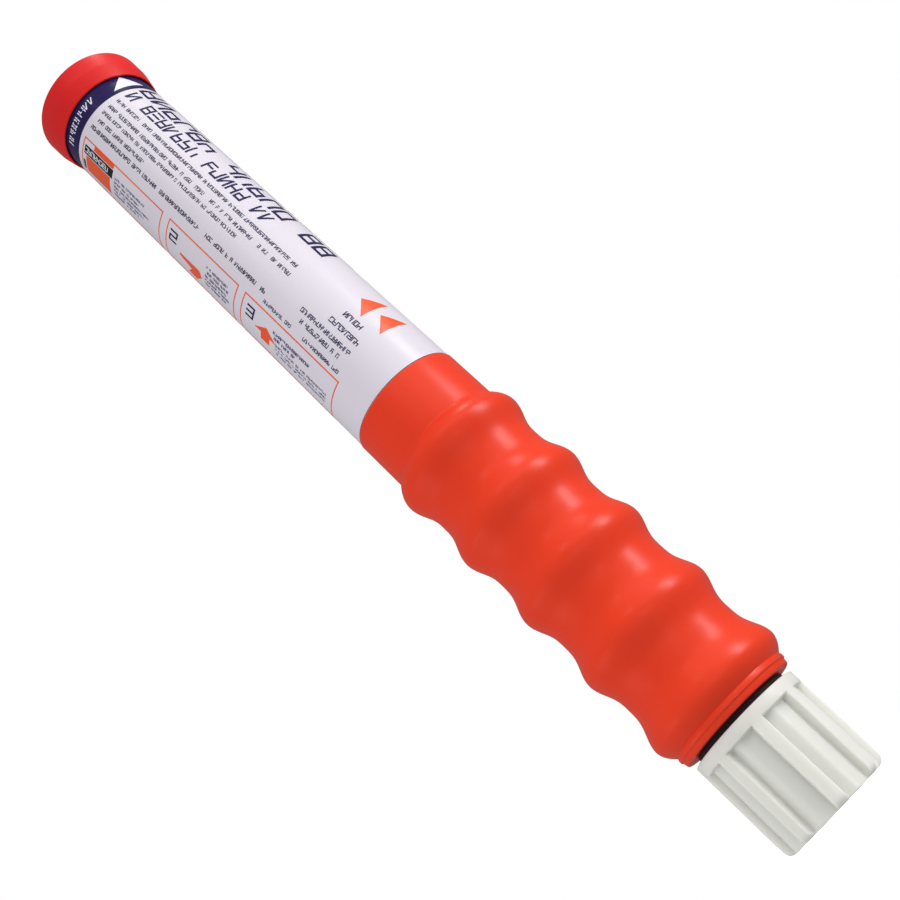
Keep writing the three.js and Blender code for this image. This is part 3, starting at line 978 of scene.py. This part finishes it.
def finger_ring():
    """The pull ring, hanging in the neck, with its boss on the wire."""
    middle, section, height = 6.6, 1.5, 16.3
    around, across = 64, 20
    rings = []
    for k in range(around):
        turn = TURN * k / around
        ring = []
        for j in range(across):
            tilt = TURN * j / across
            reach = middle + section * math.cos(tilt)
            ring.append((reach * math.cos(turn), section * math.sin(tilt), height + reach * math.sin(turn)))
        rings.append(ring)
    boss = turned("boss", rounded([(0, 23.2, 0), (2.0, 23.2, 0.3), (1.7, 25.2, 0.3), (0, 25.2, 0)]), 32)
    return joined("pull_ring_moulding", [lofted("ring", rings), boss])


# ---------------------------------------------------------------- rocket


def crimped_case():
    """The motor case, rolled in at three places to hold the nozzle and the bulkhead."""
    outline = [(13.8, MOTOR_LOW + 0.3), (14.0, MOTOR_LOW), (14.8, MOTOR_LOW), (ROCKET, MOTOR_LOW + 0.3)]
    rows = 200
    for z in [54.6 + 67.0 * k / rows for k in range(rows + 1)]:
        dent = sum(0.16 * math.exp(-((z - at) / 0.5) ** 2) for at in (57.0, 63.0, 114.0))
        outline.append((ROCKET - dent, z))
    outline += [(ROCKET, MOTOR_HIGH - 0.2), (14.8, MOTOR_HIGH), (14.0, MOTOR_HIGH), (13.8, MOTOR_HIGH - 0.2)]
    return turned("motor_case_drawn", outline, HIDDEN_TURN)


def nozzle():
    """A throat between a rounded entry and a widening bell."""
    quarters = [math.pi / 2 * k / 8 for k in range(1, 9)]
    throat = [(6.0 - 3.4 * math.sin(turn), 65.0 - 4.0 * (1 - math.cos(turn))) for turn in quarters]
    bell = [(2.6 + 4.4 * (k / 10) ** 1.3, 60.6 - 5.6 * k / 10) for k in range(1, 11)]
    body = [(13.3, 55.0), (13.5, 55.2), (13.5, 64.8), (13.3, 65.0)]
    return turned("nozzle_moulding", body + throat + bell, HIDDEN_TURN)


def delay_tube():
    return turned("delay_tube_turning", rounded([
        (0, 112, 0), (2.1, 112, 0.2), (2.1, 117.3, 0.1), (3.8, 117.3, 0.2), (3.8, 118.6, 0.2),
        (2.1, 118.6, 0.1), (2.1, 121, 0.2), (0, 121, 0)]), HIDDEN_TURN)


def candle_can():
    """The candle's case, open below and closed above."""
    low, high = low_high("candle_case")
    return turned("candle_can", rounded([
        (12.8, low, 0.2), (ROCKET_SLIDE, low, 0.3), (ROCKET_SLIDE, high, 0.8), (0, high, 0), (0, high - 2, 0),
        (12.8, high - 2, 0.5)]), HIDDEN_TURN)


def nose_plug():
    low, high = low_high("nose_plug")
    return turned("nose_plug_moulding", rounded([
        (0, low, 0), (ROCKET_SLIDE, low, 0.4), (ROCKET_SLIDE, 295.3, 0.1), (ROCKET, 295.3, 0.3),
        (ROCKET, 298, 1.4), (13, high, 1.4), (0, high, 0)]), HIDDEN_TURN)


def wound_tube():
    """The paper payload tube, with the edge of each wound strip just showing."""
    low, high = low_high("payload_tube")
    pitch = 42.0
    edge = 0.09
    count = 96
    rows = 230
    rings = []
    for i in range(rows + 1):
        z = low + (high - low) * i / rows
        ring = []
        for k in range(count):
            share = (z / pitch + k / count) % 1.0
            rise = min(1.0, share / 0.02) if share < 0.5 else (1 - share) * 2
            ring.append(polar(ROCKET - edge + edge * rise, TURN * k / count, z))
        rings.append(ring)
    for z in (high, low):
        rings.append([polar(14.1, TURN * k / count, z) for k in range(count)])
    return lofted("payload_tube_wound", rings)


def packed_parachute():
    """The folded canopy: pleats of unequal depth in a tight roll."""
    low, high = low_high("parachute_pack")
    chance = random.Random(12)
    folds = [(chance.uniform(0.05, 0.35), chance.randint(5, 23), chance.uniform(0, TURN)) for k in range(6)]
    count = 128
    rows = 60
    dip = 0.3
    rings = [[(0, 0, low + dip)]]
    for i in range(rows + 1):
        share = i / rows
        z = low + (high - low) * share
        ends = min(1.0, share * 14, (1 - share) * 14)
        ring = []
        for k in range(count):
            angle = TURN * k / count
            wave = sum(depth * (0.5 + 0.5 * math.sin(number * angle + phase + 1.5 * share))
                       for depth, number, phase in folds)
            ring.append(polar((12.85 - wave) * (0.9 + 0.1 * math.sqrt(ends)), angle, z))
        rings.append(ring)
    rings.append([(0, 0, high - dip)])
    return lofted("parachute_folded", rings, 60)


def coiled_line():
    """The suspension line, laid in a flat coil."""
    low = low_high("suspension_line")[0]
    section = 0.62
    steps, across = 96, 8
    coils = []
    for n in range(4):
        radius = outer_radius("suspension_line") - section - 1.25 * n
        foot = low + (2.6 if n % 2 else 2.0)
        for level in (-1.0, 0.25, 1.5):
            rings = []
            for turn in [TURN * k / steps for k in range(steps)]:
                z = foot + level + 0.1 * math.sin(3 * turn + radius)
                tilts = [TURN * j / across for j in range(across)]
                rings.append([polar(radius + section * math.cos(tilt), turn, z + section * math.sin(tilt))
                              for tilt in tilts])
            coils.append(lofted("coil", rings))
    return joined("line_coil", coils)


# ---------------------------------------------------------------- materials


def shader_group(name):
    """A shader node group with the shared inputs and outputs, its wiring and the object's own place."""
    tree = bpy.data.node_groups.new(name, "ShaderNodeTree")
    wiring = Wiring(tree)
    wiring.socket("Colour", "Color", value=(0.5, 0.5, 0.5, 1))
    wiring.socket("Deep Colour", "Color", value=(0.4, 0.4, 0.4, 1))
    wiring.socket("Roughness", "Float", value=0.3)
    wiring.socket("Scuffing", "Float", value=0.1)
    wiring.socket("Colour", "Color", "OUTPUT")
    wiring.socket("Roughness", "Float", "OUTPUT")
    wiring.socket("Height", "Float", "OUTPUT")
    return wiring, wiring.add("NodeGroupInput").outputs, wiring.add("ShaderNodeTexCoord").outputs["Object"]


def finished(wiring, taken, share, rough, height):
    """Ends a shader group: share picks between its two colours."""
    blend = wiring.add("ShaderNodeMix", {
        "Factor": share, 6: taken["Colour"], 7: taken["Deep Colour"]}, data_type="RGBA")
    wiring.add("NodeGroupOutput", {"Colour": blend.outputs[2], "Roughness": rough, "Height": height})
    return wiring.tree


def noise(wiring, place, scale, detail=3.0, roughness=0.5, **mapping):
    """Noise at a place; a Scale or Rotation stretches its grain."""
    if mapping:
        place = wiring.add("ShaderNodeMapping", {"Vector": place, **mapping}).outputs["Vector"]
    return wiring.add("ShaderNodeTexNoise", {
        "Vector": place, "Scale": scale, "Detail": detail, "Roughness": roughness}).outputs["Fac"]


def cylinder_place(wiring, place):
    """The distance from the axis, the angle round it and the height, in metres and radians."""
    plus, minus, times, over = wiring.sums()
    spot = wiring.parts(place)
    across = wiring.math("SQRT", plus(times(spot["X"], spot["X"]), times(spot["Y"], spot["Y"])))
    return across, wiring.math("ARCTAN2", spot["X"], spot["Y"]), spot["Z"]


def moulded_skin_group():
    """Moulded plastic: cloudy colour, faint flow lines along the tool, fine grain and handling scuffs."""
    wiring, taken, place = shader_group("moulded_skin")
    plus, minus, times, over = wiring.sums()
    cloud = noise(wiring, place, 38.0, 3.0, 0.55)
    grain = noise(wiring, place, 2600.0, 2.0)
    flow = noise(wiring, place, 300.0, 4.0, Scale=(1.0, 1.0, 0.12))
    scratch = noise(wiring, place, 160.0, 6.0, Rotation=(0.5, 0.2, 0.9), Scale=(1.0, 9.0, 1.6))
    marks = wiring.add("ShaderNodeMapRange", {"Value": scratch, "From Min": 0.62, "From Max": 0.78})
    scuffs = times(marks.outputs["Result"], taken["Scuffing"])
    uneven = wiring.math("MULTIPLY_ADD", flow, 0.10, -0.05)
    rough = plus(plus(taken["Roughness"], uneven), scuffs)
    return finished(wiring, taken, cloud, rough, plus(times(grain, 0.35), times(flow, 0.65)))


def turned_metal_group():
    """Turned or drawn metal: fine rings round the axis, slight staining and small dull patches."""
    wiring, taken, place = shader_group("turned_metal")
    plus, minus, times, over = wiring.sums()
    across, angle, height = cylinder_place(wiring, place)
    rings_at = wiring.xyz(X=across, Z=height)
    rings = noise(wiring, rings_at, 5200.0, 2.0)
    broad = noise(wiring, rings_at, 420.0, 3.0)
    stain = noise(wiring, place, 120.0, 4.0)
    uneven = wiring.math("MULTIPLY_ADD", rings, 0.16, -0.08)
    patch = times(times(stain, broad), taken["Scuffing"])
    rough = plus(plus(taken["Roughness"], uneven), patch)
    return finished(wiring, taken, stain, rough, plus(times(rings, 0.6), times(broad, 0.4)))


def fibre_group():
    """Paper board, felt and pressed mouldings: tangled fibres, specks and a mottled body."""
    wiring, taken, place = shader_group("fibre")
    plus, minus, times, over = wiring.sums()
    tangle = noise(wiring, place, 900.0, 6.0, Scale=(1.0, 1.0, 0.35))
    mottle = noise(wiring, place, 150.0, 4.0)
    cells = wiring.add("ShaderNodeTexVoronoi", {"Vector": place, "Scale": 1400.0}).outputs["Distance"]
    share = plus(times(tangle, 0.6), times(mottle, 0.4))
    rough = plus(taken["Roughness"], times(mottle, taken["Scuffing"]))
    return finished(wiring, taken, share, rough, plus(tangle, times(cells, 0.5)))


def woven_group():
    """Woven cloth and cord: crossed threads round and along the axis."""
    wiring, taken, place = shader_group("woven")
    plus, minus, times, over = wiring.sums()
    across, angle, height = cylinder_place(wiring, place)
    warp = wiring.math("SINE", times(angle, 180.0))
    weft = wiring.math("SINE", times(height, 14000.0))
    weave = wiring.math("MULTIPLY_ADD", times(warp, weft), 0.5, 0.5)
    soil = noise(wiring, place, 140.0, 4.0)
    share = plus(times(weave, 0.5), times(soil, 0.5))
    rough = plus(taken["Roughness"], times(soil, taken["Scuffing"]))
    return finished(wiring, taken, share, rough, weave)


def surface(name, group, colour, deep, roughness, scuffing=0.1, bump=0.00002, **settings):
    """A Principled material fed by a shader group. Settings are the shader's own even values."""
    material = bpy.data.materials.new(name)
    material.use_nodes = True
    wiring = Wiring(material.node_tree)
    shader = material.node_tree.nodes["Principled BSDF"]
    effect = wiring.add("ShaderNodeGroup", {
        "Colour": (*colour, 1.0), "Deep Colour": (*deep, 1.0), "Roughness": roughness,
        "Scuffing": scuffing}, node_tree=group).outputs
    raised = wiring.add("ShaderNodeBump", {"Height": effect["Height"], "Strength": 1.0, "Distance": bump})
    wiring.feed(shader, {
        "Base Color": effect["Colour"], "Roughness": effect["Roughness"], "Normal": raised.outputs["Normal"]})
    wiring.feed(shader, {key.replace("_", " "): value for key, value in settings.items()})
    return material


def printed_ink(name, group, colour, deep, roughness=0.33, **settings):
    """A thin, smooth coat of print or film."""
    return surface(name, group, colour, deep, roughness, 0.05, 0.00001, **settings)


def make_materials():
    skin = moulded_skin_group()
    metal = turned_metal_group()
    fibre = fibre_group()
    woven = woven_group()
    dull = {"Specular_IOR_Level": 0.3}
    return {
        "orange": surface("orange_moulded_plastic", skin, (0.80, 0.043, 0.008), (0.75, 0.034, 0.008), 0.34,
                          Specular_IOR_Level=0.34),
        "red": surface("red_moulded_plastic", skin, (0.73, 0.013, 0.011), (0.64, 0.008, 0.009), 0.42, 0.12,
                       Specular_IOR_Level=0.28),
        "white": surface("natural_polyethylene", skin, (0.77, 0.765, 0.72), (0.71, 0.705, 0.635), 0.42,
                         Subsurface_Weight=0.7, Subsurface_Radius=(1.0, 0.97, 0.9), Subsurface_Scale=0.004),
        "tube": surface("white_extruded_plastic", skin, (0.80, 0.80, 0.80), (0.74, 0.75, 0.76), 0.45),
        "film": printed_ink("white_film", skin, (0.71, 0.655, 0.71), (0.67, 0.63, 0.70)),
        "navy": printed_ink("navy_ink", skin, (0.012, 0.012, 0.060), (0.022, 0.020, 0.085), **dull),
        "band": printed_ink("band_ink", skin, (0.012, 0.006, 0.060), (0.022, 0.012, 0.090), **dull),
        "blue": printed_ink("small_print_ink", skin, (0.045, 0.055, 0.14), (0.065, 0.075, 0.17), 0.35),
        "black_ink": printed_ink("black_ink", skin, (0.010, 0.010, 0.016), (0.018, 0.018, 0.028), 0.35,
                                 **dull),
        "orange_ink": printed_ink("orange_ink", skin, (0.85, 0.100, 0.020), (0.80, 0.080, 0.018)),
        "white_ink": printed_ink("white_ink", skin, (0.76, 0.76, 0.86), (0.72, 0.72, 0.82)),
        "rubber": surface("black_rubber", skin, (0.006, 0.006, 0.009), (0.012, 0.012, 0.015), 0.62, 0.2,
                          0.00005),
        "grey": surface("grey_moulded_plastic", skin, (0.22, 0.23, 0.24), (0.18, 0.19, 0.20), 0.45, 0.15),
        "aluminium": surface("drawn_aluminium", metal, (0.80, 0.81, 0.83), (0.70, 0.71, 0.74), 0.30, 0.2,
                             Metallic=1.0),
        "steel": surface("bright_steel", metal, (0.62, 0.62, 0.63), (0.52, 0.52, 0.54), 0.28, 0.2, 0.00001,
                         Metallic=1.0),
        "brass": surface("turned_brass", metal, (0.80, 0.60, 0.28), (0.66, 0.47, 0.20), 0.27, 0.3,
                         Metallic=1.0),
        "paper": surface("wound_paper", fibre, (0.52, 0.38, 0.23), (0.40, 0.28, 0.16), 0.78, 0.15, 0.00008),
        "felt": surface("pressed_felt", fibre, (0.38, 0.36, 0.32), (0.26, 0.245, 0.22), 0.92, 0.05, 0.00025,
                        Sheen_Weight=0.4),
        "moulding": surface("dark_pressed_moulding", fibre, (0.085, 0.080, 0.075), (0.050, 0.047, 0.045),
                            0.75, 0.2, 0.00010),
        "nylon": surface("white_nylon_weave", woven, (0.82, 0.82, 0.80), (0.66, 0.66, 0.65), 0.70, 0.15,
                         0.00010, Sheen_Weight=0.25),
    }


# ---------------------------------------------------------------- make the flare


def riding(body, ink):
    """A short call that keeps one piece of a body: its name, mesh, look, slot and CAD node; the slot is not
    used.
    """
    def part(name, mesh, look, slot, *nodes):
        keep(name, mesh, ink[look], body, slot, *nodes)
    return part


def make_launcher(ink):
    part = riding("launcher", ink)
    part("grip_moulding", grip_handle(ink["orange"]), "orange", "orange_plastic", "grip_handle")
    part("launch_tube_wall", launch_tube(), "tube", "tube_plastic", "launch_tube")
    part("label_film", film(), "film", "printed_film", "label_wrap")
    part("dark_band", band(294.9, WRAP_HIGH - 0.3), "band", "printed_film")
    print_label(ink)
    part("neck_thread", thread("neck_thread", 11.35, 0.75, 9.6, 16.5, ink["orange"]), "orange",
         "orange_plastic")
    part("base_plug_turning", base_plug(), "grey", "grey_plastic", "base_plug")
    part("plug_seal", o_ring("plug_seal", "plug_oring"), "rubber", "black_rubber", "plug_oring")
    part("igniter_body", igniter_body(), "brass", "brass", "igniter_housing")
    part("igniter_cap", block("igniter_cap", "igniter_cup", 0.3), "aluminium", "aluminium", "igniter_cup")
    part("wad", block("wad", "spacer_wad", 0.6, 3.0), "felt", "felt", "spacer_wad")


def make_closures(ink):
    part = riding("gasket_ring", ink)
    part("gasket", block("gasket", "cap_gasket", 0.2, NECK + 1), "rubber", "black_rubber", "cap_gasket")
    part = riding("screw_cap", ink)
    part("base_cap_moulding", base_cap(), "white", "white_plastic", "base_cap")
    part("cap_thread", thread("cap_thread", CAP_BORE + 0.05, 0.5, 12.0, 14.0, ink["white"]), "white",
         "white_plastic")
    part = riding("pull", ink)
    part("finger_ring", finger_ring(), "red", "red_plastic", "pull_ring")
    part("wire", block("wire", "pull_wire", 0.1), "steel", "steel", "pull_wire")
    part("ferrule", block("ferrule", "wire_ferrule", 0.15, 0.9), "brass", "brass", "wire_ferrule")
    part = riding("end_cap", ink)
    part("rocket_end_cap_moulding", rocket_end_cap(), "red", "red_plastic", "rocket_end_cap")
    part("end_cap_ring", o_ring("end_cap_ring", "end_cap_seal"), "rubber", "black_rubber", "end_cap_seal")


def make_rocket(ink):
    part = riding("rocket", ink)
    part("motor_case_drawn", crimped_case(), "aluminium", "aluminium", "motor_case")
    part("nozzle_moulding", nozzle(), "grey", "grey_plastic", "nozzle")
    part("motor_filling", block("motor_filling", "motor_charge", 0.5, 3.5), "moulding", "moulding",
         "motor_charge")
    part("bulkhead", block("bulkhead", "motor_bulkhead", 0.4, 2.4), "aluminium", "aluminium",
         "motor_bulkhead")
    part("delay_tube_turning", delay_tube(), "brass", "brass", "delay_tube")
    part("payload_tube_wound", wound_tube(), "paper", "paper_board", "payload_tube")
    part("pusher", block("pusher", "pusher_disc"), "paper", "paper_board", "pusher_disc")
    part("candle_can", candle_can(), "aluminium", "aluminium", "candle_case")
    part("candle_block", block("candle_block", "candle", 0.6), "moulding", "moulding", "candle")
    part("line_coil", coiled_line(), "nylon", "nylon_cloth", "suspension_line")
    part("felt_pad", block("felt_pad", "felt_disc", 0.5), "felt", "felt", "felt_disc")
    part("parachute_liner", block("parachute_liner", "parachute_sleeve", 0.2, 13.2), "paper", "paper_board",
         "parachute_sleeve")
    part("parachute_folded", packed_parachute(), "nylon", "nylon_cloth", "parachute_pack")
    part("nose_plug_moulding", nose_plug(), "grey", "grey_plastic", "nose_plug")


def finish_cad_nodes(ink):
    """The swivel eye stays as the CAD made it and gets its material."""
    slots = bpy.data.objects["swivel_eye"].data.materials
    slots.clear()
    slots.append(ink["steel"])


aim_camera()
light_studio()
white_surroundings()
lay_floor()
bpy.context.scene.view_settings.view_transform = "Standard"
looks = make_materials()
make_launcher(looks)
make_closures(looks)
make_rocket(looks)
finish_cad_nodes(looks)
